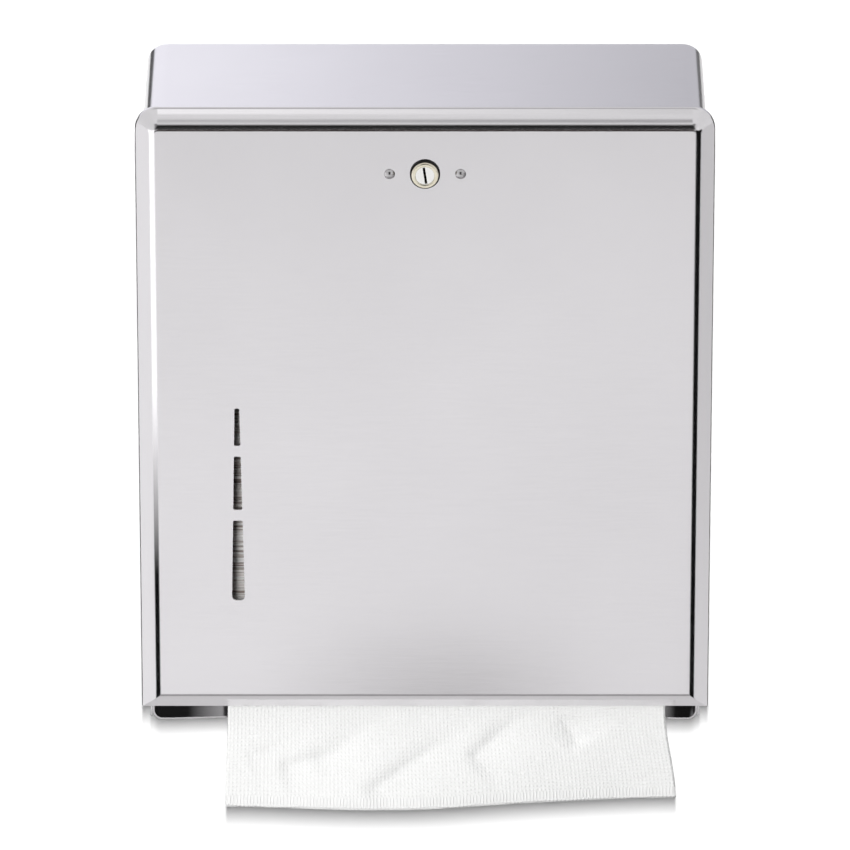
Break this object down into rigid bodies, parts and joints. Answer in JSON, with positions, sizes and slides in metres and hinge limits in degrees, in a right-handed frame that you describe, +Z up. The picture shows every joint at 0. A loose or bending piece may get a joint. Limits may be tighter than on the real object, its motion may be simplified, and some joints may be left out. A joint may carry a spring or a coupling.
{
  "type": "folded towel dispenser",
  "caption": "Wall-mounted sheet-steel cabinet for folded paper towels, with a keyed drop-down front door, tapered sight slots and a towel hanging from the gap under the door.",
  "frame": {"origin": "centre of the wall-screw pattern on the back face of the cabinet", "axes": "+X to the right seen from the front, +Y into the wall, +Z up"},
  "size_m": [0.289, 0.1046, 0.389],
  "materials": {
    "satin_steel": "satin, fine grain",
    "zinc_steel": "bright zinc plate",
    "rivet_steel": "polished",
    "lock_plating": "nickel plate, slightly warm",
    "dark_trim": "black",
    "wafer_brass": "stamped",
    "nylon": "natural nylon",
    "towel_paper": "embossed, matt"
  },
  "bodies": {
    "cabinet": {"cabinet_shell": "satin_steel", "back_panel": "satin_steel", "towel_tray": "satin_steel", "hinge_pin_left": "zinc_steel", "hinge_pin_right": "zinc_steel", "hinge_washer_left": "nylon", "hinge_washer_right": "nylon", "towel_stack": "towel_paper"},
    "door": {"front_door": "satin_steel", "lock_plate": "zinc_steel", "lock_plate_rivets": "rivet_steel", "lock_trim_ring": "dark_trim", "lock_barrel": "lock_plating", "lock_washer": "zinc_steel", "lock_nut": "zinc_steel"},
    "lock": {"lock_plug": "lock_plating", "lock_wafers": "wafer_brass", "lock_cam": "zinc_steel", "cam_washer": "zinc_steel", "cam_nut": "zinc_steel"},
    "towel": {"towel_sheet": "towel_paper"}
  },
  "joints": [
    {"name": "door_hinge", "type": "hinge", "parent": "cabinet", "child": "door", "pos_m": [0, -0.0905, -0.159], "axis": [1, 0, 0], "range_deg": [0, 90]},
    {"name": "lock_turn", "type": "hinge", "parent": "door", "child": "lock", "pos_m": [0, -0.102, 0.132], "axis": [0, 1, 0], "range_deg": [0, 90]},
    {"name": "towel_pull", "type": "slide", "parent": "cabinet", "child": "towel", "axis": [0, 0, -1], "range_m": [0, 0.05]}
  ]
}
